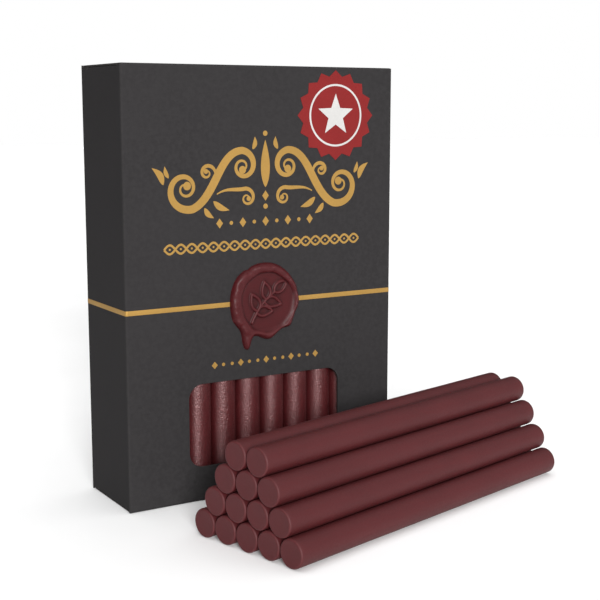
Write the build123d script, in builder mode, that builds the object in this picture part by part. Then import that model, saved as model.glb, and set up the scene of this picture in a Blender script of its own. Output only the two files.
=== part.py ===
"""Retail pack of sealing wax sticks: a windowed tuck-end carton that still holds
sixteen sticks, with fourteen loose sticks stacked in front of it.

Frame: origin at the middle of the carton's base, +Z up, the carton's front
faces -Y, +X to the right when looking at the front. All sizes in millimetres.
"""

from build123d import *

import os
from math import cos, pi, radians, sin, sqrt

os.makedirs("parts", exist_ok=True)

# ---------------------------------------------------------------- dimensions
# carton, outside
carton_w = 78.0  # X
carton_d = 25.0  # Y
carton_h = 110.0  # Z
board = 0.5  # folding boxboard

# window in the front panel
window_w = 44.6
window_z0 = 9.0
window_z1 = 30.6
window_r = 3.8

# end closures: lid, tuck flap and two dust flaps at the top and at the bottom
crease_gap = 0.10  # room left at a crease between two folded panels
lid_side_gap = 0.40  # the lid lies on the side panels, just short of their faces
lid_back_gap = 0.20
lid_corner_r = 0.8
tuck_len = 12.0
tuck_tilt = 18.0  # degrees that the tucked flap leans in from the back panel
tuck_axis_in = 0.75  # tuck crease, in from the back panel's inner face
tuck_axis_down = 0.6  # tuck crease, down from the carton's end
tuck_corner_r = 7.0
dust_len = 16.0
dust_drop = 0.05  # room between the lid and the dust flaps under it
dust_front0 = 1.2  # front edge: start of its taper, in from the front panel
dust_front_k = 0.70  # and its slope
dust_back0 = 8.3  # back edge at the crease (Y)
dust_back1 = 6.0  # and at the free end (Y)
dust_corner_r = 2.0

# glue flap inside the left rear corner
glue_len = 10.0
glue_inset = 4.0
glue_taper = 2.5

# wax sticks
stick_d = 7.0
stick_l = 100.0
stick_rim = 0.45

# sticks that are still in the carton
stick_floor = 1.20
row_pitch = 7.2
front_row = 10
rear_row = 6
front_row_gap = 0.30  # from the front panel's inner face

# loose stack: rows of five, four, three and two
stack_pitch = 7.1
stack_yaw = 14.57  # degrees from the carton's front
stack_x = -27.2  # near end of the stack, middle of its bottom row
stack_y = -50.6
stack_rows = (5, 4, 3, 2)

# wax seal and paper sticker on the front panel
seal_z = 50.3
seal_t = 1.6
seal_well_r = 7.5
seal_well_t = 0.55
seal_well_taper = 25.0
seal_edge_r = 0.5
sticker_x = 21.1
sticker_z = 97.6
sticker_r = 11.6
sticker_in = 0.87
sticker_points = 16
sticker_t = 0.12

# gold foil band round the carton, at the seal's height
band_h = 1.2
band_t = 0.04

# ------------------------------------------------------------------- derived
half_w = carton_w / 2
half_d = carton_d / 2
in_w = half_w - board
in_d = half_d - board


def save(piece, name):
    piece.part.label = name
    export_step(piece.part, f"parts/{name}.step")


# -------------------------------------------------------------- carton tube
# front panel, full height, with the die-cut window
with BuildPart() as front_panel:
    with BuildSketch(Plane.XZ.offset(half_d)):
        with Locations((0, carton_h / 2)):
            Rectangle(carton_w, carton_h)
        with Locations((0, (window_z0 + window_z1) / 2)):
            RectangleRounded(
                window_w, window_z1 - window_z0, window_r, mode=Mode.SUBTRACT
            )
    extrude(amount=-board)
save(front_panel, "front_panel")

# back panel, full height
with BuildPart() as back_panel:
    with BuildSketch(Plane.XZ.offset(-half_d)):
        with Locations((0, carton_h / 2)):
            Rectangle(carton_w, carton_h)
    extrude(amount=board)
save(back_panel, "back_panel")

# side panels stand between the front and the back, and stop short of the lids
side_z0 = board + dust_drop
side_h = carton_h - 2 * side_z0
for side_name, side_x in (("left_panel", -half_w), ("right_panel", in_w)):
    with BuildPart() as side_panel:
        with BuildSketch(Plane.YZ.offset(side_x)):
            with Locations((0, carton_h / 2)):
                Rectangle(2 * in_d, side_h)
        extrude(amount=board)
    save(side_panel, side_name)

# glue flap: runs on from the back panel and is stuck inside the left panel
with BuildPart() as glue_flap:
    with BuildSketch(Plane.YZ.offset(-in_w)):
        with BuildLine():
            Polyline(
                (in_d, glue_inset),
                (in_d, carton_h - glue_inset),
                (in_d - glue_len, carton_h - glue_inset - glue_taper),
                (in_d - glue_len, glue_inset + glue_taper),
                close=True,
            )
        make_face()
    extrude(amount=board)
save(glue_flap, "glue_flap")


# ------------------------------------------------------------- end closures
def end_closure(end, up):
    """Lid, tuck flap and dust flaps of one end. up is +1 at the top, -1 at the base."""
    face = carton_h if up > 0 else 0.0

    # lid: hinged on the front panel's edge, so the front keeps a clean fold
    lid_y0 = -in_d + crease_gap
    lid_y1 = in_d - lid_back_gap
    with BuildPart() as lid:
        with BuildSketch(Plane.XY.offset(face)) as lid_sk:
            with Locations((0, (lid_y0 + lid_y1) / 2)):
                Rectangle(2 * (half_w - lid_side_gap), lid_y1 - lid_y0)
            fillet(lid_sk.vertices().group_by(Axis.Y)[-1], radius=lid_corner_r)
        extrude(amount=-board * up)
    save(lid, f"{end}_lid")

    # tuck flap: leans in from the back panel, with rounded free corners
    tilt = radians(tuck_tilt)
    crease = Plane(
        origin=(0, in_d - tuck_axis_in, face - up * tuck_axis_down),
        x_dir=(up, 0, 0),
        z_dir=(0, cos(tilt), -up * sin(tilt)),
    )
    tuck_w = 2 * (in_w - 0.7)
    with BuildPart() as tuck:
        with BuildSketch(crease) as tuck_sk:
            with Locations((0, (crease_gap + tuck_len) / 2)):
                Rectangle(tuck_w, tuck_len - crease_gap)
            fillet(tuck_sk.vertices().group_by(Axis.Y)[-1], radius=tuck_corner_r)
        extrude(amount=board)
    save(tuck, f"{end}_tuck_flap")

    # dust flaps: hinged on the side panels, tapered to clear the lid and the tuck
    dust_face = face - up * (board + dust_drop)
    for hand, sx in (("left", -1), ("right", 1)):
        x0 = sx * (in_w - crease_gap)
        x1 = sx * (in_w - dust_len)
        front0 = -in_d + dust_front0 + dust_front_k * crease_gap
        front1 = -in_d + dust_front0 + dust_front_k * dust_len
        with BuildPart() as dust:
            with BuildSketch(Plane.XY.offset(dust_face)) as dust_sk:
                with BuildLine():
                    Polyline(
                        (x0, front0),
                        (x1, front1),
                        (x1, dust_back1),
                        (x0, dust_back0),
                        close=True,
                    )
                make_face()
                fillet(
                    [v for v in dust_sk.vertices() if abs(v.X - x1) < 0.01],
                    radius=dust_corner_r,
                )
            extrude(amount=-board * up)
        save(dust, f"{end}_dust_flap_{hand}")


end_closure("top", 1)
end_closure("bottom", -1)

# ------------------------------------------------- trim on the front panel
# pressed wax seal: uneven poured edge, flat well where the stamp went in
seal_plane = Plane(origin=(0, -half_d, seal_z), x_dir=(1, 0, 0), z_dir=(0, -1, 0))
seal_pts = [
    (9.6, 0.2),
    (8.9, 3.4),
    (7.3, 6.1),
    (5.1, 8.3),
    (2.5, 9.7),
    (-0.3, 10.1),
    (-3.0, 9.8),
    (-5.3, 9.0),
    (-7.5, 7.9),
    (-9.3, 5.7),
    (-10.3, 2.9),
    (-10.6, 0.0),
    (-10.3, -2.7),
    (-9.5, -5.1),
    (-8.2, -7.0),
    (-7.3, -8.7),  # a short run of wax at the lower left
    (-6.95, -10.7),
    (-6.3, -12.1),
    (-5.4, -12.2),
    (-4.85, -10.9),
    (-4.4, -9.5),
    (-3.2, -8.9),
    (-1.8, -9.3),
    (-0.4, -10.0),
    (1.1, -10.1),
    (2.6, -9.2),
    (4.3, -8.3),
    (6.2, -7.7),
    (7.5, -6.5),
    (8.3, -4.4),
    (9.3, -2.1),
]
with BuildPart() as wax_seal:
    with BuildSketch(seal_plane):
        with BuildLine():
            Spline(*seal_pts, periodic=True)
        make_face()
    extrude(amount=seal_t)
    fillet(
        wax_seal.faces().sort_by(Axis.Y)[0].outer_wire().edges(), radius=seal_edge_r
    )
    with BuildSketch(seal_plane.offset(seal_t)):
        Circle(seal_well_r)
    extrude(amount=-seal_well_t, taper=seal_well_taper, mode=Mode.SUBTRACT)
    # the wax has run over the foil band
    with Locations((0, -half_d, seal_z)):
        Box(3 * seal_well_r, 2 * band_t, band_h, mode=Mode.SUBTRACT)
save(wax_seal, "wax_seal")

# foil band, stamped round all four sides
with BuildPart() as gold_band:
    with BuildSketch(Plane.XY.offset(seal_z - band_h / 2)):
        Rectangle(carton_w + 2 * band_t, carton_d + 2 * band_t)
        Rectangle(carton_w, carton_d, mode=Mode.SUBTRACT)
    extrude(amount=band_h)
save(gold_band, "gold_band")

# starburst paper sticker
sticker_plane = Plane(
    origin=(sticker_x, -half_d, sticker_z), x_dir=(1, 0, 0), z_dir=(0, -1, 0)
)
burst = []
for i in range(2 * sticker_points):
    a = pi * i / sticker_points + pi / 2
    r = sticker_r if i % 2 == 0 else sticker_r * sticker_in
    burst.append((r * cos(a), r * sin(a)))
with BuildPart() as starburst_sticker:
    with BuildSketch(sticker_plane):
        with BuildLine():
            Polyline(*burst, close=True)
        make_face()
    extrude(amount=sticker_t)
save(starburst_sticker, "starburst_sticker")


# --------------------------------------------------------------- wax sticks
def wax_stick(plane, name):
    """One cast stick: a round bar with both rims rounded over."""
    with BuildPart() as stick:
        with BuildSketch(plane):
            Circle(stick_d / 2)
        extrude(amount=stick_l)
        fillet(stick.edges().filter_by(GeomType.CIRCLE), radius=stick_rim)
    save(stick, name)


# standing in the carton: a full row behind the window, part of a row behind it
front_y = -in_d + front_row_gap + stick_d / 2
rear_y = front_y + row_pitch * sqrt(3) / 2
for i in range(front_row):
    x = (i - (front_row - 1) / 2) * row_pitch
    wax_stick(Plane(origin=(x, front_y, stick_floor)), f"carton_stick_{i + 1:02d}")
for i in range(rear_row):
    x = (i - (front_row - 2) / 2) * row_pitch
    wax_stick(
        Plane(origin=(x, rear_y, stick_floor)), f"carton_stick_{front_row + i + 1:02d}"
    )

# loose stack lying in front: rows nest in the hollows of the row below
yaw = radians(stack_yaw)
along = (cos(yaw), sin(yaw), 0)
across = (sin(yaw), -cos(yaw), 0)
number = 0
for level, count in enumerate(stack_rows):
    z = stick_d / 2 + level * stack_pitch * sqrt(3) / 2
    for i in range(count):
        number += 1
        off = (i - (count - 1) / 2) * stack_pitch
        wax_stick(
            Plane(
                origin=(stack_x + across[0] * off, stack_y + across[1] * off, z),
                x_dir=across,
                z_dir=along,
            ),
            f"loose_stick_{number:02d}",
        )
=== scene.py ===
import math

import bmesh
import bpy
import numpy as np
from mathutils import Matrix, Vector
from mathutils.geometry import delaunay_2d_cdt


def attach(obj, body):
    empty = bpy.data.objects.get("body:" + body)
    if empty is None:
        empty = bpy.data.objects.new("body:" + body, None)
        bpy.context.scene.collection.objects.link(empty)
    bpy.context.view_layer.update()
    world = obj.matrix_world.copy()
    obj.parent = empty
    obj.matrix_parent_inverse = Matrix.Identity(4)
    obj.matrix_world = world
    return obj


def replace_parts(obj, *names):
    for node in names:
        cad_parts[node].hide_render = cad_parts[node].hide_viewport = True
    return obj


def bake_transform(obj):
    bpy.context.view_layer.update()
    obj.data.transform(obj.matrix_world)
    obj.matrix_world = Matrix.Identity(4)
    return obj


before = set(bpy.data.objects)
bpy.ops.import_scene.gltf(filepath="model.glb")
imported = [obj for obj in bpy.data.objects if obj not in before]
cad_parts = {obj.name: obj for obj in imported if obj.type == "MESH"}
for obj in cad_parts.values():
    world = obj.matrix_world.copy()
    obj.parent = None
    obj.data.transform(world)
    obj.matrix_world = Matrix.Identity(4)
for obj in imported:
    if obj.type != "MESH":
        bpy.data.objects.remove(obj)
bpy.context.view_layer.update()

MM = 0.001
scene = bpy.context.scene

# ------------------------------------------------------------ sizes, in mm
W2, D2, H = 39.0, 12.5, 110.0  # carton half width, half depth, height
T = 0.5  # board
R = 0.6  # outside radius of a folded crease
ARC = R * math.pi / 2
WIN_X, WIN_Z0, WIN_Z1, WIN_R = 22.3, 9.0, 30.6, 3.8
SEAL_Z = 50.3
BADGE_X, BADGE_Z, BADGE_R = 21.1, 97.6, 11.6


# ---------------------------------------------------------------- materials
def lin(*rgb):
    out = []
    for c in rgb:
        c /= 255.0
        out.append(c / 12.92 if c <= 0.04045 else ((c + 0.055) / 1.055) ** 2.4)
    return (*out, 1.0)


def scaled(c, k):
    return (c[0] * k, c[1] * k, c[2] * k, 1.0)


class Mat:
    """A material with a Principled shader and a few shorthands for its nodes."""

    def __init__(self, name, **sockets):
        self.m = bpy.data.materials.new(name)
        self.m.use_nodes = True
        self.nt = self.m.node_tree
        self.b = self.nt.nodes["Principled BSDF"]
        for k, v in sockets.items():
            self.b.inputs[k.replace("_", " ")].default_value = v

    def node(self, kind, **props):
        n = self.nt.nodes.new(kind)
        for k, v in props.items():
            setattr(n, k, v)
        return n

    def link(self, a, b):
        self.nt.links.new(a, b)

    def coords(self, scale=(1, 1, 1), attribute=None):
        if attribute:
            src = self.node("ShaderNodeAttribute", attribute_name=attribute)
            out = src.outputs["Vector"]
        else:
            out = self.node("ShaderNodeTexCoord").outputs["Object"]
        mp = self.node("ShaderNodeMapping")
        mp.inputs["Scale"].default_value = scale
        self.link(out, mp.inputs["Vector"])
        return mp.outputs["Vector"]

    def noise(self, vec, scale, detail=4.0, rough=0.55, distort=0.0):
        n = self.node("ShaderNodeTexNoise")
        n.inputs["Scale"].default_value = scale
        n.inputs["Detail"].default_value = detail
        n.inputs["Roughness"].default_value = rough
        n.inputs["Distortion"].default_value = distort
        self.link(vec, n.inputs["Vector"])
        return n.outputs["Fac"]

    def ramp(self, fac, stops, interp="LINEAR"):
        r = self.node("ShaderNodeValToRGB")
        r.color_ramp.interpolation = interp
        el = r.color_ramp.elements
        while len(el) < len(stops):
            el.new(0.5)
        for e, (p, c) in zip(el, stops):
            e.position = p
            e.color = c
        self.link(fac, r.inputs["Fac"])
        return r.outputs["Color"]

    def span(self, v, a, b, c=0.0, d=1.0, smooth=False):
        m = self.node("ShaderNodeMapRange")
        m.interpolation_type = "SMOOTHSTEP" if smooth else "LINEAR"
        for key, val in zip(("From Min", "From Max", "To Min", "To Max"), (a, b, c, d)):
            m.inputs[key].default_value = val
        self.link(v, m.inputs["Value"])
        return m.outputs["Result"]

    def math(self, op, a, b=None):
        m = self.node("ShaderNodeMath", operation=op)
        for i, x in enumerate((a, b)):
            if x is None:
                continue
            if isinstance(x, (int, float)):
                m.inputs[i].default_value = x
            else:
                self.link(x, m.inputs[i])
        return m.outputs[0]

    def mix(self, fac, a, b, mode="MIX"):
        m = self.node("ShaderNodeMix", data_type="RGBA", blend_type=mode)
        for key, x in ((0, fac), (6, a), (7, b)):
            if isinstance(x, (int, float)):
                m.inputs[key].default_value = x
            elif isinstance(x, tuple):
                m.inputs[key].default_value = x
            else:
                self.link(x, m.inputs[key])
        return m.outputs[2]

    def bump(self, *layers):
        """layers: (height socket, strength, distance in metres)"""
        normal = None
        for h, s, d in layers:
            b = self.node("ShaderNodeBump")
            b.inputs["Strength"].default_value = s
            b.inputs["Distance"].default_value = d
            self.link(h, b.inputs["Height"])
            if normal is not None:
                self.link(normal, b.inputs["Normal"])
            normal = b.outputs["Normal"]
        self.link(normal, self.b.inputs["Normal"])

    def set(self, socket, out):
        self.link(out, self.b.inputs[socket])


def crease_mask(m):
    """1 on the carton's outside folds, 0 on its flat panels, from the position."""
    sep = m.node("ShaderNodeSeparateXYZ")
    m.link(m.node("ShaderNodeTexCoord").outputs["Object"], sep.inputs[0])
    ex = m.span(m.math("ABSOLUTE", sep.outputs[0]), 0.0384, 0.0390, smooth=True)
    ey = m.span(m.math("ABSOLUTE", sep.outputs[1]), 0.0119, 0.0125, smooth=True)
    zz = m.math("ABSOLUTE", m.math("SUBTRACT", sep.outputs[2], 0.055))
    ez = m.span(zz, 0.0544, 0.0550, smooth=True)
    xy = m.math("MULTIPLY", ex, ey)
    yz = m.math("MULTIPLY", ey, ez)
    xz = m.math("MULTIPLY", ex, ez)
    return m.math("MAXIMUM", xy, m.math("MAXIMUM", yz, xz))


def board_print():
    m = Mat("board_print", Specular_IOR_Level=0.02)
    v = m.coords()
    cloud = m.noise(v, 55.0, 3.0, 0.5)
    fleck = m.noise(v, 900.0, 3.0, 0.6)
    fibre = m.noise(m.coords((0.30, 0.30, 1.0)), 2200.0, 3.0, 0.6, 0.6)
    base = m.ramp(
        cloud,
        [(0.30, (0.0213, 0.0201, 0.0206, 1)), (0.70, (0.0234, 0.0220, 0.0227, 1))],
    )
    base = m.mix(
        m.span(fleck, 0.38, 0.62), base, (0.0255, 0.0241, 0.0247, 1)
    )
    base = m.mix(m.span(fibre, 0.60, 0.76, 0.0, 0.45), base, (0.0167, 0.0157, 0.0161, 1))
    base = m.mix(m.span(fibre, 0.40, 0.26, 0.0, 0.30), base, (0.0310, 0.0293, 0.0300, 1))
    # folds rub a little paler, in patches
    worn = m.math(
        "MULTIPLY", crease_mask(m), m.span(m.noise(v, 260.0, 4.0, 0.65), 0.45, 0.75)
    )
    base = m.mix(m.math("MULTIPLY", worn, 0.35), base, (0.047, 0.044, 0.043, 1))
    m.set("Base Color", base)
    m.set("Roughness", m.span(fleck, 0.3, 0.7, 0.60, 0.72))
    m.bump((fleck, 0.10, 0.00008), (fibre, 0.18, 0.00004))
    return m.m


def board_inside():
    m = Mat("board_inside", Specular_IOR_Level=0.04)
    v = m.coords()
    a = m.noise(m.coords((1.0, 1.0, 0.3)), 1400.0, 4.0, 0.6)
    b = m.noise(v, 70.0, 3.0, 0.5)
    base = m.ramp(a, [(0.3, (0.026, 0.0245, 0.024, 1)), (0.7, (0.052, 0.049, 0.047, 1))])
    base = m.mix(m.span(b, 0.3, 0.7, 0.0, 0.4), base, (0.033, 0.031, 0.030, 1))
    m.set("Base Color", base)
    m.set("Roughness", m.span(a, 0.3, 0.7, 0.8, 0.95))
    m.bump((a, 0.25, 0.00005))
    return m.m


def board_edge():
    m = Mat("board_edge", Specular_IOR_Level=0.03)
    a = m.noise(m.coords(), 1800.0, 4.0, 0.6)
    base = m.ramp(a, [(0.3, (0.022, 0.0205, 0.0205, 1)), (0.7, (0.036, 0.034, 0.033, 1))])
    m.set("Base Color", base)
    m.set("Roughness", m.span(a, 0.3, 0.7, 0.75, 0.92))
    m.bump((a, 0.3, 0.00005))
    return m.m


def wax(name, hue, rough, grain, spec=0.34, crinkle=0.0, tint=1.0):
    m = Mat(
        name,
        Subsurface_Weight=0.0 if crinkle else 0.08,
        Subsurface_Radius=(1.0, 0.22, 0.20),
        Subsurface_Scale=0.0010,
        Specular_IOR_Level=spec,
        Specular_Tint=(1.0, tint, tint, 1.0),
    )
    body = m.coords(attribute="loc")
    streak = m.noise(m.coords((0.10, 1.0, 1.0), "loc"), 420.0, 4.0, 0.55)
    ripple = m.noise(m.coords((0.45, 1.0, 1.0), "loc"), 1100.0, 3.0, 0.6, 0.4)
    cloud = m.noise(body, 90.0, 3.0, 0.5)
    pits = m.noise(body, 2400.0, 3.0, 0.6)
    base = m.ramp(cloud, [(0.28, scaled(hue, 0.92)), (0.72, scaled(hue, 1.08))])
    base = m.mix(m.span(streak, 0.35, 0.70, 0.0, 0.35), base, scaled(hue, 0.84))
    if crinkle:
        crease = m.noise(m.coords((1.3, 1.0, 1.0), "loc"), 1700.0, 3.0, 0.65, 0.8)
        base = m.mix(m.span(crease, 0.50, 0.66, 0.0, 0.7), base, scaled(hue, 1.6))
        base = m.mix(m.span(crease, 0.48, 0.36, 0.0, 0.6), base, scaled(hue, 0.55))
    # cut ends are paler; the rim attribute also paints a paler highlight on the sticks' rounded rims and on the seal's
    # crests
    rim = m.node("ShaderNodeAttribute", attribute_name="rim").outputs["Fac"]
    pale = (hue[0] * 1.22 + 0.003, hue[1] * 1.25 + 0.0045, hue[2] * 1.25 + 0.0045, 1.0)
    base = m.mix(m.math("MULTIPLY", rim, m.span(pits, 0.3, 0.7, 0.8, 1.0)), base, pale)
    # painted shade: the creases of the pressed wax are darker
    crease_shade = m.node("ShaderNodeAttribute", attribute_name="crease_shade").outputs["Fac"]
    base = m.mix(m.math("MULTIPLY", crease_shade, 0.8), base, scaled(hue, 0.4))
    m.set("Base Color", base)
    m.set("Roughness", m.span(pits, 0.3, 0.7, rough - 0.05, rough + 0.07))
    layers = [
        (streak, 0.10, 0.0002),
        (ripple, 0.30 * grain, 0.00020),
        (pits, 0.25 * grain, 0.00010),
    ]
    if crinkle:
        layers.append((crease, crinkle, 0.00020))
    m.bump(*layers)
    return m.m


def gold():
    m = Mat("gold_foil", Metallic=0.45, Specular_IOR_Level=0.05)
    v = m.coords()
    a = m.noise(v, 120.0, 3.0, 0.5)
    b = m.noise(v, 2200.0, 3.0, 0.6)
    g = (0.325, 0.192, 0.0535, 1)
    base = m.ramp(a, [(0.3, scaled(g, 0.94)), (0.7, scaled(g, 1.06))])
    base = m.mix(m.span(b, 0.35, 0.7, 0.0, 0.25), base, scaled(g, 0.82))
    m.set("Base Color", base)
    m.set("Roughness", m.span(b, 0.3, 0.7, 0.42, 0.56))
    m.bump((b, 0.10, 0.00004))
    return m.m


def paper(name, c, spec=0.3):
    m = Mat(name, Specular_IOR_Level=spec)
    v = m.coords()
    a = m.noise(v, 160.0, 3.0, 0.5)
    b = m.noise(v, 2400.0, 3.0, 0.6)
    base = m.ramp(a, [(0.3, scaled(c, 0.95)), (0.7, scaled(c, 1.04))])
    base = m.mix(m.span(b, 0.35, 0.7, 0.0, 0.2), base, scaled(c, 0.9))
    m.set("Base Color", base)
    m.set("Roughness", m.span(b, 0.3, 0.7, 0.45, 0.6))
    m.bump((b, 0.08, 0.00003))
    return m.m


PRINT, INSIDE, EDGE = board_print(), board_inside(), board_edge()
BOARD = [PRINT, INSIDE, EDGE]
WAX = wax("stick_wax", (0.055, 0.0062, 0.0075, 1), 0.58, 0.35, 0.30)
# painted shade: the sticks inside the carton take the same wax as the loose ones with a darker base colour, as a shaded
# copy; it is also glossier, with tinted reflections and crinkled grain
WAX_IN_SHADED = wax("stick_wax_standing_shaded", (0.047, 0.0055, 0.0065, 1), 0.37, 0.5, 1.0, 0.58, 0.67)
SEAL = wax("seal_wax", (0.0450, 0.0050, 0.0062, 1), 0.44, 0.3, 0.165)
GOLD = gold()
RED = paper("sticker_red", (0.150, 0.0112, 0.0112, 1), 0.12)
WHITE = paper("sticker_white", (0.405, 0.398, 0.388, 1), 0.12)


# -------------------------------------------------------------- mesh helpers
def build(name, verts, faces, mats, fmat=None, sharp=38.0, attrs=None, flip=True):
    """verts in mm, row frame."""
    me = bpy.data.meshes.new(name)
    me.from_pydata((np.asarray(verts, float) * MM).tolist(), [], faces)
    for mt in mats:
        me.materials.append(mt)
    if fmat is not None:
        me.polygons.foreach_set("material_index", np.asarray(fmat, np.int32))
    if flip:
        bm = bmesh.new()
        bm.from_mesh(me)
        bmesh.ops.recalc_face_normals(bm, faces=bm.faces)
        bm.to_mesh(me)
        bm.free()
    me.polygons.foreach_set("use_smooth", np.ones(len(me.polygons), bool))
    me.set_sharp_from_angle(angle=math.radians(sharp))
    for key, val in (attrs or {}).items():
        val = np.asarray(val, np.float32)
        if val.ndim == 2:
            me.attributes.new(key, "FLOAT_VECTOR", "POINT").data.foreach_set(
                "vector", val.ravel()
            )
        else:
            me.attributes.new(key, "FLOAT", "POINT").data.foreach_set("value", val)
    me.update()
    ob = bpy.data.objects.new(name, me)
    scene.collection.objects.link(ob)
    return ob


def inside(poly, pts):
    poly, pts = np.asarray(poly), np.asarray(pts)
    x, y = pts[:, 0], pts[:, 1]
    res = np.zeros(len(pts), bool)
    for (x0, y0), (x1, y1) in zip(poly, np.roll(poly, -1, 0)):
        hit = (y0 > y) != (y1 > y)
        with np.errstate(divide="ignore", invalid="ignore"):
            res ^= hit & (x < (x1 - x0) * (y - y0) / (y1 - y0) + x0)
    return res


def area(loop):
    p = np.asarray(loop)
    q = np.roll(p, -1, 0)
    return 0.5 * float((p[:, 0] * q[:, 1] - q[:, 0] * p[:, 1]).sum())


def densify(loop, step, cuts=()):
    out = []
    for a, b in zip(np.asarray(loop, float), np.roll(loop, -1, 0)):
        ts = {0.0}
        n = max(1, math.ceil(np.linalg.norm(b - a) / step))
        ts |= {i / n for i in range(n)}
        for c in cuts:
            if (a[0] - c) * (b[0] - c) < -1e-9:
                ts.add((c - a[0]) / (b[0] - a[0]))
        ts = sorted(ts)
        keep = [ts[0]]
        for t in ts[1:]:
            if t - keep[-1] > 1e-4:
                keep.append(t)
        out += [a + (b - a) * t for t in keep]
    return np.array(out)


def inset(loop, bev):
    """Move a loop into the material, which is on its left; bev gives each edge's bevel."""
    p = np.asarray(loop, float)
    e = np.roll(p, -1, 0) - p
    t = e / np.linalg.norm(e, axis=1)[:, None]
    nr = np.stack([-t[:, 1], t[:, 0]], 1)
    b = np.array([bev(*m) for m in (p + np.roll(p, -1, 0)) / 2])
    out = p.copy()
    for i in range(len(p)):
        n1, n2, b1, b2 = nr[i - 1], nr[i], b[i - 1], b[i]
        det = n1[0] * n2[1] - n1[1] * n2[0]
        if abs(det) < 0.05:
            d = 0.5 * (n1 * b1 + n2 * b2)
        else:
            d = np.array(
                [(b1 * n2[1] - b2 * n1[1]) / det, (n1[0] * b2 - n2[0] * b1) / det]
            )
        k = np.linalg.norm(d)
        lim = 2.5 * max(b1, b2)
        out[i] = p[i] + (d if k <= lim or k == 0 else d * lim / k)
    return out


def triangulate(loops, pts=(), edges=(), links=()):
    """Triangles that fill the first loop less the others; returns points, triangles, loop indices."""
    every, cons, index = [], [], []
    for lp in loops:
        n0 = len(every)
        every += [tuple(q) for q in lp]
        cons += [(n0 + i, n0 + (i + 1) % len(lp)) for i in range(len(lp))]
        index.append(range(n0, n0 + len(lp)))
    n0 = len(every)
    every += [tuple(q) for q in pts]
    cons += [(n0 + a, n0 + b) for a, b in edges]
    cons += [(a, n0 + b) for a, b in links]
    ov, _, of, orig, _, _ = delaunay_2d_cdt([Vector(q) for q in every], cons, [], 0, 1e-6)
    where = {}
    for j, src in enumerate(orig):
        for k in src:
            where[k] = j
    xy = np.array([tuple(q) for q in ov])
    tri = np.array([tuple(f) for f in of])
    mid = xy[tri].mean(1)
    ok = inside(loops[0], mid)
    for lp in loops[1:]:
        ok &= ~inside(lp, mid)
    tri = tri[ok]
    # drop slivers that lie on the outer side of nearly straight runs of the outline
    rim = set()
    for r in index:
        for k in r:
            a, b = where[k], where[r[(k - r[0] + 1) % len(r)]]
            rim.add((min(a, b), max(a, b)))
    use = {}
    for t in tri.tolist():
        for a, b in zip(t, t[1:] + t[:1]):
            use[min(a, b), max(a, b)] = use.get((min(a, b), max(a, b)), 0) + 1
    p, q, r = xy[tri[:, 0]], xy[tri[:, 1]], xy[tri[:, 2]]
    size = np.abs((q - p)[:, 0] * (r - p)[:, 1] - (q - p)[:, 1] * (r - p)[:, 0])
    keep = np.ones(len(tri), bool)
    thin = np.nonzero(size < 1e-4)[0].tolist()
    found = True
    while found:
        found = False
        for i in thin:
            t = tri[i].tolist()
            es = [(min(a, b), max(a, b)) for a, b in zip(t, t[1:] + t[:1])]
            if keep[i] and any(use[e] == 1 and e not in rim for e in es):
                keep[i], found = False, True
                for e in es:
                    use[e] -= 1
    return xy, tri[keep], [[where[k] for k in r] for r in index]


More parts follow.
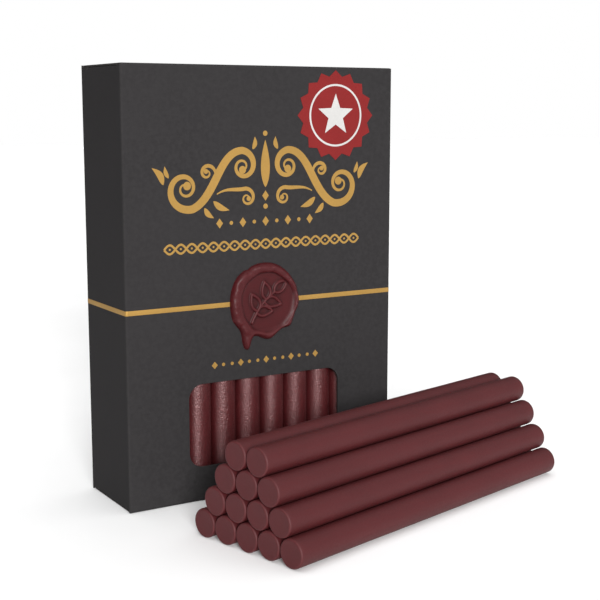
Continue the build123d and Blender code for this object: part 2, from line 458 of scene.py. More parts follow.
def plate(
    name, outline, place, holes=(), thick=T, step=6.0, bevel=0.05, seam=None, cuts=(),
    mats=None, grid=8.0,
):
    """A flat or folded sheet with thickness. The outline and holes are drawn flat (u, v);
    place(u, v, depth) folds them into the row frame. Along edges where seam(u, v) is true
    the sheet runs on into the next piece, so they are not bevelled."""
    loops = [densify(outline, step, cuts)] + [densify(h, step) for h in holes]
    loops = [
        lp if (area(lp) > 0) == (k == 0) else lp[::-1] for k, lp in enumerate(loops)
    ]

    def bev(u, v):
        return 0.0 if seam and seam(u, v) else bevel

    rings = [inset(lp, bev) for lp in loops]
    # points inside: columns along the folds, and a loose grid elsewhere
    lo, hi = loops[0].min(0), loops[0].max(0)
    pts, edges, links = [], [], []
    vs = np.linspace(lo[1] + bevel, hi[1] - bevel, max(6, int((hi[1] - lo[1]) / step)))[1:-1]
    for c in cuts:
        first = len(pts)
        col = np.array([(c, v) for v in vs])
        col = col[inside(rings[0], col)]
        pts += [tuple(q) for q in col]
        edges += [
            (i, i + 1)
            for i in range(first, len(pts) - 1)
            if abs(pts[i + 1][1] - pts[i][1]) < 2.2 * (vs[1] - vs[0])
        ]
        # tie the column to the outline at both ends, so that no face cuts across a fold
        ends = [i for i, q in enumerate(rings[0]) if abs(q[0] - c) < 1e-5]
        if len(ends) == 2 and len(pts) > first:
            ends.sort(key=lambda i: rings[0][i][1])
            links += [(ends[0], first), (ends[1], len(pts) - 1)]
    us = np.arange(lo[0] + grid / 2, hi[0], grid)
    ws = np.arange(lo[1] + grid / 2, hi[1], grid)
    if len(us) and len(ws):
        g = np.array([(u, w) for u in us for w in ws])
        ok = inside(rings[0], g)
        for rg in rings[1:]:
            ok &= ~inside(rg, g)
        for rg in rings:
            ok &= np.min(np.linalg.norm(g[:, None] - rg[None], axis=2), 1) > 1.2
        for c in cuts:
            ok &= abs(g[:, 0] - c) > 1.2
        pts += [tuple(q) for q in g[ok]]
    xy, tri, idx = triangulate(rings, pts, edges, links)
    n = len(xy)
    flat = [(u, v, 0.0) for u, v in xy] + [(u, v, thick) for u, v in xy]
    faces = [[int(a), int(b), int(c)] for a, b, c in tri]
    faces += [[int(c) + n, int(b) + n, int(a) + n] for a, b, c in tri]
    fm = [0] * len(tri) + [1] * len(tri)
    e = min(bevel, thick * 0.3)
    for lp, ix in zip(loops, idx):
        k = len(lp)
        a0 = len(flat)
        flat += [(u, v, e) for u, v in lp]
        b0 = len(flat)
        flat += [(u, v, thick - e) for u, v in lp]
        for i in range(k):
            j = (i + 1) % k
            faces += [
                [ix[i], a0 + i, a0 + j, ix[j]],
                [a0 + i, b0 + i, b0 + j, a0 + j],
                [b0 + i, ix[i] + n, ix[j] + n, b0 + j],
            ]
            fm += [2, 2, 2]
    verts = [place(*q) for q in flat]
    return build(name, verts, faces, mats or BOARD, fm)


def rounded(pts, radii, seg=8):
    """Polygon with rounded corners; one radius per corner."""
    p = np.asarray(pts, float)
    out = []
    for i, r in enumerate(radii):
        a, b, c = p[i - 1], p[i], p[(i + 1) % len(p)]
        if r <= 0:
            out.append(b)
            continue
        d1, d2 = (a - b) / np.linalg.norm(a - b), (c - b) / np.linalg.norm(c - b)
        half = math.acos(max(-1, min(1, float(d1 @ d2)))) / 2
        m = (d1 + d2) / np.linalg.norm(d1 + d2)
        ctr = b + m * r / math.sin(half)
        s = b + d1 * r / math.tan(half) - ctr
        t = b + d2 * r / math.tan(half) - ctr
        a0, a1 = math.atan2(s[1], s[0]), math.atan2(t[1], t[0])
        da = (a1 - a0 + math.pi) % (2 * math.pi) - math.pi
        out += [
            ctr + r * np.array([math.cos(a0 + da * k / seg), math.sin(a0 + da * k / seg)])
            for k in range(seg + 1)
        ]
    return np.array(out)


def rect(u0, u1, v0, v1):
    return [(u0, v0), (u1, v0), (u1, v1), (u0, v1)]


# ---------------------------------------------------------------- carton tube
U = (W2 - R) + ARC  # a front or back panel's half width, measured round its folds
FOLD = [s * ((W2 - R) + ARC * k / 6) for s in (-1, 1) for k in (-0.4, 0, 1, 2, 3, 4, 5)]


def wall(sign):
    def place(u, v, d):
        s = 1.0 if u >= 0 else -1.0
        a = max(0.0, (abs(u) - (W2 - R)) / R)
        rho = R - d
        if a == 0.0:
            return (u, sign * (D2 - d), v)
        return (
            s * ((W2 - R) + rho * math.sin(a)),
            sign * ((D2 - R) + rho * math.cos(a)),
            v,
        )

    return place


LID_X = 38.6
NOTCH = 109.9
front_outline = [
    (-U, H - NOTCH), (-LID_X, H - NOTCH), (-LID_X, R), (LID_X, R), (LID_X, H - NOTCH),
    (U, H - NOTCH), (U, NOTCH), (LID_X, NOTCH), (LID_X, H - R), (-LID_X, H - R),
    (-LID_X, NOTCH), (-U, NOTCH),
]  # fmt: skip


def front_seam(u, v):
    return abs(abs(u) - U) < 1e-6 or (
        abs(u) < LID_X - 1e-6 and (abs(v - R) < 1e-6 or abs(v - (H - R)) < 1e-6)
    )


window = rounded(rect(-WIN_X, WIN_X, WIN_Z0, WIN_Z1), [WIN_R] * 4, 12)
front = plate(
    "front_panel_board", front_outline, wall(-1), holes=[window], seam=front_seam, cuts=FOLD
)
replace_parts(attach(front, "carton"), "front_panel")

back = plate(
    "back_panel_board",
    rect(-U, U, 0.0, H),
    wall(1),
    seam=lambda u, v: abs(abs(u) - U) < 1e-6,
    cuts=FOLD,
)
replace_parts(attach(back, "carton"), "back_panel")

SIDE_Z = 0.55  # the side panels stop short of the lids
DUST_F, DUST_B = -10.73, 8.3
sy = D2 - R
side_outline = [
    (-sy, SIDE_Z), (DUST_F - 0.12, SIDE_Z), (DUST_F - 0.12, SIDE_Z + R),
    (DUST_B + 0.12, SIDE_Z + R), (DUST_B + 0.12, SIDE_Z), (sy, SIDE_Z),
    (sy, H - SIDE_Z), (DUST_B + 0.12, H - SIDE_Z), (DUST_B + 0.12, H - SIDE_Z - R),
    (DUST_F - 0.12, H - SIDE_Z - R), (DUST_F - 0.12, H - SIDE_Z), (-sy, H - SIDE_Z),
]  # fmt: skip


def side_seam(u, v):
    low = abs(v - (SIDE_Z + R)) < 1e-6 or abs(v - (H - SIDE_Z - R)) < 1e-6
    return abs(abs(u) - sy) < 1e-6 or (low and DUST_F - 0.1 < u < DUST_B + 0.1)


for hand, s in (("left", -1), ("right", 1)):
    ob = plate(
        f"{hand}_panel_board",
        side_outline,
        lambda u, v, d, s=s: (s * (W2 - d), u, v),
        seam=side_seam,
    )
    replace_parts(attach(ob, "carton"), f"{hand}_panel")

glue = plate(
    "glue_flap_board",
    [(12.0, 4.0), (12.0, 106.0), (2.0, 103.5), (2.0, 6.5)],
    lambda u, v, d: (-38.5 + d, u, v),
    mats=[PRINT, INSIDE, EDGE],
)
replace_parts(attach(glue, "carton"), "glue_flap")

# ------------------------------------------------------------- end closures
TILT = math.radians(18.0)
TUCK_R = 0.6
TUCK_C = 11.145  # middle of the tuck fold (Y)
TUCK_ARC = TUCK_R * (math.pi / 2 + TILT)
TUCK_END = TUCK_ARC + 11.97


def lid_place(x, s, d):
    if s < ARC:
        a = s / R
        return (x, -(D2 - R) - (R - d) * math.cos(a), (H - R) + (R - d) * math.sin(a))
    return (x, -(D2 - R) + (s - ARC), H - d)


def tuck_place(x, s, d):
    a = min(s, TUCK_ARC) / TUCK_R
    rho = TUCK_R - d
    y, z = TUCK_C + rho * math.sin(a), (H - TUCK_R) + rho * math.cos(a)
    if s > TUCK_ARC:
        y -= (s - TUCK_ARC) * math.sin(TILT)
        z -= (s - TUCK_ARC) * math.cos(TILT)
    return (x, y, z)


def dust_place(sx):
    def place(s, y, d):
        if s < ARC:
            a = s / R
            return (
                sx * ((W2 - R) + (R - d) * math.cos(a)),
                y,
                (H - SIDE_Z - R) + (R - d) * math.sin(a),
            )
        return (sx * ((W2 - R) - (s - ARC)), y, H - SIDE_Z - d)

    return place


def turned(place, up):
    """The base's closure is the top's, mirrored."""
    if up:
        return place
    return lambda u, v, d: (lambda p: (p[0], p[1], H - p[2]))(place(u, v, d))


def swap(place):
    return lambda u, v, d: place(v, u, d)


LID_S = ARC + (TUCK_C + (D2 - R))
for end, up in (("top", True), ("bottom", False)):
    lid = plate(
        f"{end}_lid_board",
        rect(0.0, LID_S, -LID_X, LID_X),
        turned(swap(lid_place), up),
        seam=lambda u, v: u < 1e-6 or u > LID_S - 1e-6,
        cuts=[ARC * k / 6 for k in (1, 2, 3, 4, 5, 6, 6.4)],
    )
    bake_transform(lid)  # fmt: skip
    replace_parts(lid, f"{end}_lid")

    tuck = plate(
        f"{end}_tuck_flap_board",
        rounded(
            [(0.0, -37.8), (TUCK_END, -37.8), (TUCK_END, 37.8), (0.0, 37.8)],
            [0, 7.0, 7.0, 0],
            14,
        ),
        turned(swap(tuck_place), up),
        seam=lambda u, v: u < 1e-6,
        cuts=[TUCK_ARC * k / 7 for k in (1, 2, 3, 4, 5, 6, 7, 7.4)],
    )
    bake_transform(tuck)  # fmt: skip
    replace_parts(tuck, f"{end}_tuck_flap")

    for hand, sx in (("left", -1), ("right", 1)):
        far = ARC + (W2 - R) - 22.5
        dust = plate(
            f"{end}_dust_flap_{hand}_board",
            rounded(
                [
                    (0.0, DUST_F), (ARC, DUST_F), (far, 0.4), (far, 6.0),
                    (ARC, DUST_B), (0.0, DUST_B),
                ],
                [0, 0, 2.0, 2.0, 0, 0],
                8,
            ),  # fmt: skip
            turned(dust_place(sx), up),
            seam=lambda u, v: u < 1e-6,
            cuts=[ARC * k / 6 for k in (1, 2, 3, 4, 5, 6, 6.4)],
            grid=5.0,
        )
        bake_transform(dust)  # fmt: skip
        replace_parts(dust, f"{end}_dust_flap_{hand}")


# ----------------------------------------------------------------- gold foil
def bez(p0, p1, p2, p3, n=30):
    t = np.linspace(0, 1, n)[:, None]
    p0, p1, p2, p3 = map(np.array, (p0, p1, p2, p3))
    return (1 - t) ** 3 * p0 + 3 * (1 - t) ** 2 * t * p1 + 3 * (1 - t) * t * t * p2 + t**3 * p3


def spiral(cx, cy, r0, r1, a0, a1, n=60):
    t = np.linspace(0, 1, n)
    r = r0 * (r1 / r0) ** t
    a = np.radians(a0 + (a1 - a0) * t)
    return np.stack([cx + r * np.cos(a), cy + r * np.sin(a)], 1)


def stroke(p, w0, w1, w2, peak=0.5):
    """Outline of a line whose half width goes from w0 through w1 to w2."""
    p = np.asarray(p, float)
    d = np.gradient(p, axis=0)
    d /= np.linalg.norm(d, axis=1)[:, None]
    n = np.stack([-d[:, 1], d[:, 0]], 1)
    s = np.concatenate([[0], np.cumsum(np.linalg.norm(np.diff(p, axis=0), axis=1))])
    s /= s[-1]
    up = np.sin(np.pi / 2 * np.clip(s / peak, 0, 1)) ** 1.3
    down = np.sin(np.pi / 2 * np.clip((1 - s) / (1 - peak), 0, 1)) ** 1.3
    w = np.where(s < peak, w0 + (w1 - w0) * up, w2 + (w1 - w2) * down)[:, None]
    return np.concatenate([p + n * w, (p - n * w)[::-1]])


def disc(cx, cy, r, n=28):
    a = np.linspace(0, 2 * np.pi, n, endpoint=False)
    return np.stack([cx + r * np.cos(a), cy + r * np.sin(a)], 1)


def leaf(p0, p1, w, bend=0.0, n=22):
    p0, p1 = np.array(p0, float), np.array(p1, float)
    t = np.linspace(0, 1, n)
    d = p1 - p0
    length = np.linalg.norm(d)
    d /= length
    nn = np.array([-d[1], d[0]])
    c = p0 + np.outer(t * length, d) + np.outer(bend * np.sin(np.pi * t), nn)
    h = w * np.sin(np.pi * t**0.8)[:, None] ** 0.9
    return np.concatenate([c + nn * h, (c - nn * h)[::-1][1:-1]])


def lozenge(cx, cy, a, b):
    return np.array([(cx + a, cy), (cx, cy + b), (cx - a, cy), (cx, cy - b)], float)


def unit(deg, turn=1):
    a = math.radians(deg)
    return turn * np.array([-math.sin(a), math.cos(a)])


def scroll_half():
    out = []
    # S scroll: small volute by the middle, sweep, large volute outside
    inner = spiral(6.6, 3.4, 0.85, 4.0, 90 + 540, 90, 70)
    outer = spiral(22.6, -1.7, 5.4, 0.9, -112, -112 + 600, 90)
    p3 = outer[0]
    mid = bez(inner[-1], inner[-1] + np.array([6.6, 0.0]), p3 - unit(-112) * 7.0, p3, 40)
    out.append(stroke(np.concatenate([inner[:-1], mid[:-1], outer]), 0.22, 1.08, 0.22, 0.47))
    out += [disc(*inner[0], 1.0), disc(*outer[-1], 1.05)]
    # tendril above the sweep
    up = spiral(16.6, 2.0, 2.3, 0.5, 170, 170 - 470, 50)
    st = bez((12.4, 1.6), (12.9, 2.4), up[0] - unit(170, -1) * 1.4, up[0], 14)
    out += [stroke(np.concatenate([st[:-1], up]), 0.15, 0.46, 0.16, 0.4), disc(*up[-1], 0.62)]
    # tendril under the sweep, back to the middle
    lo = spiral(5.4, -4.6, 2.5, 0.55, 80, 80 + 470, 50)
    st = bez((13.9, -3.3), (11.0, -1.6), lo[0] - unit(80) * 3.0, lo[0], 18)
    out += [stroke(np.concatenate([st[:-1], lo]), 0.15, 0.50, 0.16, 0.4), disc(*lo[-1], 0.62)]
    # leaves
    out.append(leaf((14.9, -5.0), (10.4, -7.4), 0.80, 0.5))
    out.append(leaf((17.4, -6.6), (14.8, -9.2), 0.70, 0.4))
    out.append(leaf((28.4, -0.6), (31.4, 3.6), 0.85, 0.7))
    out.append(leaf((27.0, 1.0), (28.0, 3.9), 0.55, -0.25))
    out.append(leaf((3.6, 7.6), (3.0, 10.8), 0.62, 0.35))
    return out


def scrollwork():
    out = []
    for s in scroll_half():
        q = s.copy()
        q[:, 0] *= -1
        out += [s, q[::-1]]
    out.append(leaf((0, -2.0), (0, 10.0), 1.30))
    out.append(lozenge(0, -4.1, 0.95, 1.3))
    out += [disc(0, -6.8, 0.66), disc(0, 11.6, 0.66)]
    return out


def moved(polys, x, z):
    return [np.asarray(p, float) + np.array([x, z]) for p in polys]


def twist(width, height, pitch, w):
    """Border of two crossing waves."""
    n = int(round(width / pitch))
    x = np.linspace(-n * pitch / 2, n * pitch / 2, n * 18 + 1)
    out = []
    for k in (0, 1):
        y = height / 2 * np.cos(2 * np.pi * x / (2 * pitch) + np.pi * k)
        out.append(stroke(np.stack([x, y], 1), w, w, w))
    out += [disc((i - (n - 1) / 2) * pitch, 0, 0.42 * w + 0.16, 16) for i in range(n)]
    return out


def slab(verts, faces, loops, at, top, base):
    """A thin closed shape that stands on the front panel, added to verts and faces."""
    xy, tri, idx = triangulate(loops)
    n0, n = len(verts), len(xy)
    verts += [(at[0] + u, y, at[1] + v) for y in (top, base) for u, v in xy]
    for a, b, c in tri.tolist():
        faces += [[n0 + a, n0 + b, n0 + c], [n0 + n + c, n0 + n + b, n0 + n + a]]
    # sides: on every edge that has a face on one side only
    seen = {}
    for t in tri.tolist():
        for a, b in zip(t, t[1:] + t[:1]):
            seen.setdefault((min(a, b), max(a, b)), []).append((a, b))
    for pair in seen.values():
        if len(pair) == 1:
            a, b = pair[0]
            faces.append([n0 + b, n0 + a, n0 + n + a, n0 + n + b])


def foil(name, polys, y=-D2, h0=0.024):
    """Flat foil shapes stamped on the front; each has its own height, so crossings stay clean."""
    verts, faces = [], []
    for k, poly in enumerate(polys):
        poly = np.asarray(poly, float)
        if area(poly) < 0:
            poly = poly[::-1]
        slab(verts, faces, [poly], (0.0, 0.0), y - h0 - 0.0012 * (k % 9), y + 0.01)
    return build(name, verts, faces, [GOLD], sharp=30.0)


ornament = foil("gold_scrollwork", moved(scrollwork(), 0.0, 81.6))
rows = []
rows += moved(twist(57.0, 2.2, 3.0, 0.27), 0.0, 65.2)
for i in range(9):
    x = (i - 4) * 3.3
    rows.append(lozenge(x, 71.0, 0.95, 1.25) if i % 2 == 0 else disc(x, 71.0, 0.5, 20))
for i in range(13):
    x = (i - 6) * 2.5
    rows.append(disc(x, 35.0, 0.45, 18) if i % 3 else lozenge(x, 35.0, 0.85, 0.95))
borders = foil("gold_borders", rows)

# band round all four sides, slightly crowned
loop = []
for cx, cy, a0 in ((W2 - R, D2 - R, 0), (R - W2, D2 - R, 90), (R - W2, R - D2, 180), (W2 - R, R - D2, 270)):
    for k in range(9):
        a = math.radians(a0 + 90 * k / 8)
        loop.append((cx, cy, math.cos(a), math.sin(a)))
path = []
for i, p in enumerate(loop):
    path.append(p)
    q = loop[(i + 1) % len(loop)]
    gap = math.hypot(q[0] - p[0], q[1] - p[1])
    for k in range(1, int(gap / 4)):
        t = k / int(gap / 4)
        path.append((p[0] + (q[0] - p[0]) * t, p[1] + (q[1] - p[1]) * t, p[2], p[3]))
prof = [(-0.60, -0.02), (-0.60, 0.012), (-0.52, 0.026), (-0.28, 0.036), (0.0, 0.04),
        (0.28, 0.036), (0.52, 0.026), (0.60, 0.012), (0.60, -0.02)]  # fmt: skip
verts, faces = [], []
for px, py, nx, ny in path:
    for dz, o in prof:
        verts.append((px + nx * (R + o), py + ny * (R + o), SEAL_Z + dz))
m, n = len(prof), len(path)
for i in range(n):
    for j in range(m):
        a, b = i * m + j, i * m + (j + 1) % m
        c, d = ((i + 1) % n) * m + (j + 1) % m, ((i + 1) % n) * m + j
        faces.append([a, b, c, d])
band = build("gold_band_foil", verts, faces, [GOLD], sharp=50.0)
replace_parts(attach(band, "carton"), "gold_band")
for ob in (ornament, borders):
    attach(ob, "carton")

# ------------------------------------------------------------ paper sticker
POINTS, IN = 16, 0.87
burst = []
for i in range(2 * POINTS):
    a = math.pi * i / POINTS + math.pi / 2
    r = BADGE_R if i % 2 == 0 else BADGE_R * IN
    burst.append((r * math.cos(a), r * math.sin(a)))
sticker = plate(
    "starburst_paper",
    burst,
    lambda u, v, d: (BADGE_X + u, -D2 - 0.12 + d, BADGE_Z + v),
    thick=0.12,
    step=3.0,
    bevel=0.03,
    mats=[RED, WHITE, RED],
    grid=3.0,
)
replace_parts(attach(sticker, "carton"), "starburst_sticker")


def ink(name, loops_list, y):
    verts, faces = [], []
    for loops in loops_list:
        loops = [
            np.asarray(lp) if (area(lp) > 0) == (k == 0) else np.asarray(lp)[::-1]
            for k, lp in enumerate(loops)
        ]
        slab(verts, faces, loops, (BADGE_X, BADGE_Z), y - 0.014, y + 0.005)
    return build(name, verts, faces, [WHITE], sharp=30.0)


star = []
for i in range(10):
    a = math.pi / 2 + math.pi * i / 5
    r = 5.6 if i % 2 == 0 else 2.35
    star.append((r * math.cos(a), r * math.sin(a)))
marks = [
    [disc(0, 0, 8.05, 96), disc(0, 0, 7.55, 96)],
    [star],
]
badge_ink = ink("starburst_ink", marks, -D2 - 0.12)
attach(badge_ink, "carton")

# ---------------------------------------------------------------- wax seal
SEAL_PTS = [
    (9.55, 0.4), (9.3, 1.9), (8.8, 3.6), (7.7, 5.5), (6.4, 7.1), (4.7, 8.5), (2.6, 9.6), (0.2, 10.05),
    (-1.9, 9.95), (-3.6, 9.55), (-4.6, 9.1), (-5.3, 8.55), (-6.4, 8.3), (-7.5, 7.6), (-8.6, 6.5),
    (-9.5, 5.0), (-10.25, 2.8), (-10.5, 0.8), (-10.5, -0.6), (-10.2, -2.8), (-9.7, -4.5), (-8.8, -5.75),
    (-7.8, -7.0), (-7.25, -8.6), (-6.95, -10.5), (-6.35, -11.9), (-5.5, -12.15), (-4.9, -11.1),
    (-4.5, -9.7), (-3.8, -8.85), (-2.6, -8.95), (-1.2, -9.55), (0.1, -9.95), (1.1, -9.85), (2.2, -9.15),
    (3.4, -8.2), (4.8, -7.5), (6.3, -7.25), (7.2, -6.6), (7.8, -5.3), (8.5, -3.8), (9.2, -2.2), (9.6, -0.9),
]  # fmt: skip
WELL_R = 7.55


def closed_spline(pts, n):
    """Catmull-Rom curve through a closed list of points."""
    p = np.asarray(pts, float)
    out = []
    for i in range(len(p)):
        p0, p1, p2, p3 = p[i - 1], p[i], p[(i + 1) % len(p)], p[(i + 2) % len(p)]
        for k in range(n):
            s = k / n
            out.append(
                0.5 * (2 * p1 + (p2 - p0) * s + (2 * p0 - 5 * p1 + 4 * p2 - p3) * s * s
                       + (3 * p1 - p0 - 3 * p2 + p3) * s**3)
            )  # fmt: skip
    return np.array(out)


def ease(a, b, x):
    s = np.clip((x - a) / (b - a), 0.0, 1.0)
    return s * s * (3 - 2 * s)


def edge_distance(pts, line, closed=True):
    a, b = line, np.roll(line, -1, 0)
    if not closed:
        a, b = a[:-1], b[:-1]
    ab = b - a
    s = np.clip(
        ((pts[:, None] - a[None]) * ab[None]).sum(2) / (ab * ab).sum(1)[None], 0, 1
    )
    near = a[None] + s[..., None] * ab[None]
    return np.linalg.norm(pts[:, None] - near, axis=2).min(1)


def sprig():
    """Lines of the raised mark: a leafy sprig across the well."""
    stem = bez((-4.6, -5.2), (-3.2, -1.9), (-0.9, 0.4), (2.0, 2.4), 40)
    lines = [(stem, False)]
    for i, side, size in (
        (13, 1, 4.7), (11, -1, 4.6), (28, 1, 4.5), (25, -1, 4.9), (39, 0, 4.6),
    ):  # fmt: skip
        t = stem[i] - stem[i - 2]
        a = math.atan2(t[1], t[0]) + side * math.radians(56)
        tip = stem[i] + size * np.array([math.cos(a), math.sin(a)])
        lines.append((leaf(stem[i], tip, 0.27 * size, -side * 0.22), True))
    return lines


def well_edge(a):
    return WELL_R + 0.12 * np.sin(3 * a + 1.0) + 0.08 * np.sin(5 * a + 0.3) + 0.04 * np.sin(11 * a)


def seal_height(q, d):
    """Height over the panel at points q, d from the poured edge."""
    r = np.hypot(q[:, 0], q[:, 1])
    a = np.arctan2(q[:, 1], q[:, 0])
    rw = well_edge(a)
    # rolled rim: rises from the poured edge, falls again to the stamp's flat
    crest = 1.48 + 0.06 * np.sin(2 * a + 0.7) + 0.05 * np.sin(5 * a + 0.4) + 0.025 * np.sin(13 * a)
    crest = crest * (1.0 - 0.12 * np.clip(r - 10.0, 0, 2.5) / 2.5)
    floor = 0.72 + 0.03 * np.sin(0.7 * q[:, 0] + 0.3) * np.sin(0.6 * q[:, 1] + 1.0)
    outer = crest * np.sqrt(np.clip(1.0 - (1.0 - np.clip(d / 1.15, 0.0, 1.0)) ** 2, 0.0, 1.0))
    lip = ease(-0.1, 0.8, np.cos(a + 0.80))
    back = np.clip((r - rw) / 1.7, 0.0, 1.0)
    roll = np.sqrt(np.clip(1.0 - (1.0 - back) ** 2, 0.0, 1.0))
    sweep = np.clip((r - rw + 0.75) / 1.65, 0.0, 1.0) ** 2.3
    inner = floor + (crest - floor) * (roll * (1.0 - lip) + sweep * lip)
    h = np.minimum(outer, inner)
    h -= 0.04 * (1.0 - lip) * np.exp(-(((r - rw + 0.05) / 0.22) ** 2))
    far = np.full(len(q), 9.0)
    for line, closed in sprig():
        far = np.minimum(far, edge_distance(q, line, closed))
    h += 0.46 * ease(0.50, 0.12, far) * ease(rw - 0.1, rw - 0.6, r)
    # small beads and nicks where the wax set on the rim
    for bx, by, br, bh in (
        (-2.3, 9.0, 0.42, 0.12), (1.9, 8.8, 0.34, 0.10), (4.4, 7.6, 0.34, 0.09), (-8.8, 3.6, 0.4, 0.10),
        (-9.4, -0.8, 0.34, 0.09), (-9.2, -2.4, 0.3, 0.09), (8.5, -1.4, 0.4, 0.09), (-5.7, 7.9, 0.6, -0.22),
        (6.8, -6.1, 0.4, 0.09), (6.5, 5.4, 0.3, -0.12), (-7.6, -5.6, 0.5, -0.12), (2.8, -8.6, 0.5, 0.08),
        (-8.2, 5.0, 1.0, -0.26), (-4.2, 8.4, 0.9, -0.20), (0.7, 9.1, 0.8, -0.16), (5.4, 7.0, 1.0, -0.22),
        (8.7, 2.2, 0.9, -0.24), (8.3, -3.4, 0.8, -0.22), (5.2, -7.6, 0.9, -0.22), (-0.8, -9.1, 0.8, -0.18),
        (-9.4, -3.9, 0.9, -0.24), (-9.7, 1.4, 0.8, -0.20), (-6.4, -8.3, 0.8, -0.16), (3.3, 8.6, 0.6, -0.12),
    ):  # fmt: skip
        h += bh * np.exp(-((np.hypot(q[:, 0] - bx, q[:, 1] - by) / br) ** 2))
    return np.minimum(h, 1.58)


rim_line = closed_spline(SEAL_PTS, 7)
g = np.array(
    [
        (x + (0.08 if j % 2 else 0.0), z)
        for j, z in enumerate(np.arange(-12.4, 10.3, 0.14))
        for x in np.arange(-10.8, 9.9, 0.16)
    ]
)
g = g[inside(rim_line, g)]
gd = edge_distance(g, rim_line)
g = g[gd > 0.13]
gr, ga = np.hypot(g[:, 0], g[:, 1]), np.arctan2(g[:, 1], g[:, 0])
g = g[np.abs(gr - well_edge(ga) - 0.05) > 0.50]
foot = []
for off in (-0.40, -0.28, -0.17, -0.08, 0.0, 0.025, 0.06, 0.12, 0.20, 0.31, 0.44):
    fa = np.linspace(0, 2 * np.pi, 340, endpoint=False)
    foot.append(np.stack([(well_edge(fa) + off) * np.cos(fa), (well_edge(fa) + off) * np.sin(fa)], 1))
foot = np.concatenate(foot)
foot = foot[edge_distance(foot, rim_line) > 0.13]
g = np.concatenate([g, foot])
shoulder = inset(rim_line, lambda u, v: 0.05)
xy, tri, idx = triangulate([rim_line], np.concatenate([shoulder, g]))
dd = edge_distance(xy, rim_line)
hh = seal_height(xy, dd)
on_edge = dd < 1e-4
hh[on_edge] = 0.22
# painted highlight and painted shade: crests get a paler colour, creases a darker one, from the height against a
# smoothed copy
smooth = hh.copy()
pairs = np.concatenate([np.asarray(tri)[:, [0, 1]], np.asarray(tri)[:, [1, 2]], np.asarray(tri)[:, [2, 0]]])
ends_a, ends_b = np.concatenate([pairs[:, 0], pairs[:, 1]]), np.concatenate([pairs[:, 1], pairs[:, 0]])
share = np.bincount(ends_a, minlength=len(hh)).clip(1)
for _ in range(40):
    smooth = 0.3 * smooth + 0.7 * np.bincount(ends_a, weights=smooth[ends_b], minlength=len(hh)) / share
relief = (hh - smooth) * ease(0.5, 1.1, dd)
verts = [(x, -D2 - h, SEAL_Z + z) for (x, z), h in zip(xy, hh)]
faces = [[int(p), int(q), int(r)] for p, q, r in tri]
b0 = len(verts)
verts += [(x, -D2 + 0.02, SEAL_Z + z) for x, z in rim_line]
n = len(rim_line)
ix = idx[0]
for i in range(n):
    j = (i + 1) % n
    faces.append([ix[i], b0 + i, b0 + j, ix[j]])
bxy, btri, bidx = triangulate([rim_line])
back = {v: b0 + k for k, v in enumerate(bidx[0])}
faces += [[back[int(r)], back[int(q)], back[int(p)]] for p, q, r in btri]
seal = build(
    "wax_seal_pressed", verts, faces, [SEAL], sharp=75.0,
    attrs={
        "loc": np.array(verts) * MM,
        "rim": np.concatenate([np.clip(relief / 0.16, 0, 1), np.zeros(n)]),
        "crease_shade": np.concatenate([np.clip(-relief / 0.16, 0, 1), np.zeros(n)]),
    },
)  # fmt: skip
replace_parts(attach(seal, "carton"), "wax_seal")

# --------------------------------------------------------------- wax sticks
SR, SL, RIM = 3.5, 100.0, 0.45
NA = 48


def stick(name, origin, axis, side, seed, finish):
    rng = np.random.default_rng(seed)
    ph = rng.uniform(0, 2 * math.pi, 12)
    up = np.cross(axis, side)
    prof = []  # (distance from the end, radius, rim)
    # rim value: the cut end is paler, and a painted highlight peaks on the rounded rim
    for r in (0.7, 1.4, 2.0, 2.5, 2.85):
        prof.append((0.11 * (1 - (r / 3.05) ** 2), r, 0.45))
    for k in range(7):
        a = math.radians(90 - 15 * k)
        prof.append((RIM - RIM * math.sin(a), SR - RIM + RIM * math.cos(a), (0.45, 0.5, 0.6, 0.62, 0.5, 0.25, 0.05)[k]))
    near = list(prof)
    body = [(s, SR, 0.0) for s in np.linspace(RIM, SL - RIM, 34)[1:-1]]
    far = [(SL - s, r, m) for s, r, m in near[::-1]]
    rings = near + body + far
    th = np.linspace(0, 2 * math.pi, NA, endpoint=False)
    verts, loc, rim = [], [], []
    shift = rng.uniform(-1, 1, 3) * 0.3

    def add(s, r, a, m):
        # cast surface: a few hundredths of a millimetre out of round and straight
        k = r / SR
        out = 0.016 * (
            math.sin(2 * a + ph[0])
            + 0.6 * math.sin(3 * a + ph[1] + s * 0.05)
            + 0.5 * math.sin(s * 0.21 + ph[2] + a)
            + 0.4 * math.sin(s * 0.47 + ph[3] - 2 * a)
        )
        r2 = r + (out - 0.036) * k
        s2 = s
        if s < 0.5 or s > SL - 0.5:
            e = 0.03 * (math.sin(a + ph[4]) * k + 0.5 * math.sin(2.6 * r + 2 * a + ph[5]) * k)
            s2 = s + (e + 0.045 if s < 0.5 else e - 0.045)
        p = (
            np.asarray(origin)
            + np.asarray(axis) * s2
            + np.asarray(side) * (r2 * math.cos(a))
            + up * (r2 * math.sin(a))
        )
        verts.append(p)
        loc.append((s * MM + shift[0], r * math.cos(a) * MM + shift[1], r * math.sin(a) * MM + shift[2]))
        rim.append(m)

    add(0.11, 0.0, 0.0, 0.45)
    for s, r, m in rings:
        for a in th:
            add(s, r, a, m)
    add(SL - 0.11, 0.0, 0.0, 0.45)
    faces = []
    nr = len(rings)
    for i in range(NA):
        faces.append([0, 1 + (i + 1) % NA, 1 + i])
    for j in range(nr - 1):
        for i in range(NA):
            p, q = 1 + j * NA + i, 1 + j * NA + (i + 1) % NA
            faces.append([p, q, q + NA, p + NA])
    end = len(verts) - 1
    base = 1 + (nr - 1) * NA
    for i in range(NA):
        faces.append([base + i, base + (i + 1) % NA, end])
    ob = build(
        f"{name}_wax", verts, faces, [finish], sharp=70.0, attrs={"loc": loc, "rim": rim}
    )
    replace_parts(ob, name)
    return ob


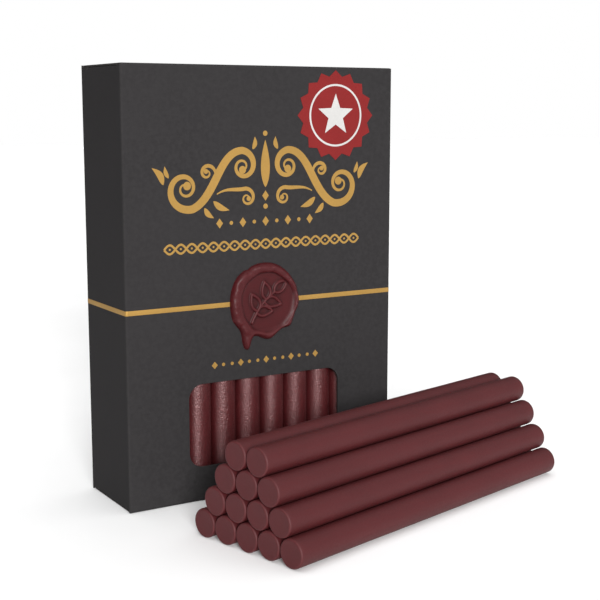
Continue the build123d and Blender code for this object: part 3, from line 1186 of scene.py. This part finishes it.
front_y = -12.0 + 0.3 + SR
rear_y = front_y + 7.2 * math.sqrt(3) / 2
spots = [((i - 4.5) * 7.2, front_y) for i in range(10)]
spots += [((i - 4) * 7.2, rear_y) for i in range(6)]
for k, (x, y) in enumerate(spots, 1):
    name = f"carton_stick_{k:02d}"
    ob = stick(name, (x, y, 1.2), (0.0, 0.0, 1.0), (1.0, 0.0, 0.0), 100 + k, WAX_IN_SHADED)
    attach(ob, "carton")

yaw = math.radians(14.57)
along = (math.cos(yaw), math.sin(yaw), 0.0)
across = (math.sin(yaw), -math.cos(yaw), 0.0)
k = 0
for level, count in enumerate((5, 4, 3, 2)):
    z = SR + level * 7.1 * math.sqrt(3) / 2
    for i in range(count):
        k += 1
        off = (i - (count - 1) / 2) * 7.1
        name = f"loose_stick_{k:02d}"
        ob = stick(
            name,
            (-27.2 + across[0] * off, -50.6 + across[1] * off, z),
            along,
            across,
            200 + k,
            WAX,
        )
        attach(ob, name)

# ------------------------------------------------------------ floor and light
fl = Mat("studio_floor", Specular_IOR_Level=0.25)
fn = fl.noise(fl.coords(), 14.0, 3.0, 0.5)
fl.set("Base Color", fl.ramp(fn, [(0.3, (0.86, 0.86, 0.86, 1)), (0.7, (0.88, 0.88, 0.88, 1))]))
fl.set("Roughness", fl.span(fn, 0.3, 0.7, 0.55, 0.65))
ns = 24
grid = np.linspace(-3000.0, 3000.0, ns + 1)
verts = [(x, y, -0.03) for y in grid for x in grid]
faces = [
    [j * (ns + 1) + i, j * (ns + 1) + i + 1, (j + 1) * (ns + 1) + i + 1, (j + 1) * (ns + 1) + i]
    for j in range(ns)
    for i in range(ns)
]
floor = build("studio_floor", verts, faces, [fl.m], flip=False)

world = bpy.data.worlds.new("studio")
scene.world = world
world.use_nodes = True
wt = world.node_tree
bg = wt.nodes["Background"]
sky = wt.nodes.new("ShaderNodeTexCoord")


def slope(direction, lo, hi, at_lo, at_hi):
    """Brightness that changes with the angle to a direction."""
    dot = wt.nodes.new("ShaderNodeVectorMath")
    dot.operation = "DOT_PRODUCT"
    dot.inputs[1].default_value = direction
    wt.links.new(sky.outputs["Generated"], dot.inputs[0])
    mr = wt.nodes.new("ShaderNodeMapRange")
    mr.interpolation_type = "SMOOTHSTEP"
    for key, val in zip(("From Min", "From Max", "To Min", "To Max"), (lo, hi, at_lo, at_hi)):
        mr.inputs[key].default_value = val
    wt.links.new(dot.outputs["Value"], mr.inputs["Value"])
    return mr.outputs["Result"]


most = wt.nodes.new("ShaderNodeMath")
most.operation = "MAXIMUM"
wt.links.new(slope((-0.98, 0.18, 0.0), 0.0, 0.62, 0.68, 0.03), most.inputs[0])
wt.links.new(slope((0.0, 0.0, 1.0), 0.40, 0.95, 0.0, 1.50), most.inputs[1])
# reflections see a dark card behind the object, so that tops don't turn grey
seen = wt.nodes.new("ShaderNodeLightPath")
card = wt.nodes.new("ShaderNodeMix")
wt.links.new(seen.outputs["Is Glossy Ray"], card.inputs[0])
card.inputs[2].default_value = 1.0
wt.links.new(slope((0.35, 0.94, 0.0), 0.10, 0.75, 1.0, 0.12), card.inputs[3])
dimmed = wt.nodes.new("ShaderNodeMath")
dimmed.operation = "MULTIPLY"
wt.links.new(most.outputs[0], dimmed.inputs[0])
wt.links.new(card.outputs[0], dimmed.inputs[1])
# the backdrop itself is plain white
back_white = wt.nodes.new("ShaderNodeMix")
wt.links.new(seen.outputs["Is Camera Ray"], back_white.inputs[0])
wt.links.new(dimmed.outputs[0], back_white.inputs[2])
back_white.inputs[3].default_value = 1.0
bg.inputs["Color"].default_value = (1.0, 1.0, 1.0, 1.0)
wt.links.new(back_white.outputs[0], bg.inputs["Strength"])

sun = bpy.data.lights.new("key", "SUN")
sun.energy = 4.3
sun.angle = math.radians(20.0)
key = bpy.data.objects.new("key", sun)
key.rotation_euler = Vector((0.33, 0.90, -0.27)).to_track_quat("-Z", "Y").to_euler()
scene.collection.objects.link(key)
# faint level fill from behind, for the sides that the key light leaves dark
fill_sun = bpy.data.lights.new("fill", "SUN")
fill_sun.energy = 1.6
fill_sun.angle = math.radians(30.0)
fill_sun.use_shadow = False
fill = bpy.data.objects.new("fill", fill_sun)
fill.rotation_euler = Vector((-0.28, -0.96, -0.04)).to_track_quat("-Z", "Y").to_euler()
fill.visible_glossy = False
scene.collection.objects.link(fill)

scene.view_settings.view_transform = "Standard"

# -------------------------------------------------------------------- camera
cam_data = bpy.data.cameras.new("photo_camera")
cam_data.sensor_width = 36.0
cam_data.lens = 72.0
cam_data.clip_start = 0.01
cam = bpy.data.objects.new("photo_camera", cam_data)
cam.location = (-0.1512, -0.2784, 0.0990)
cy, cp = math.radians(31.27), math.radians(9.0)
cam.rotation_euler = (
    Vector((math.sin(cy) * math.cos(cp), math.cos(cy) * math.cos(cp), -math.sin(cp)))
    .to_track_quat("-Z", "Y")
    .to_euler()
)
scene.collection.objects.link(cam)
scene.camera = cam
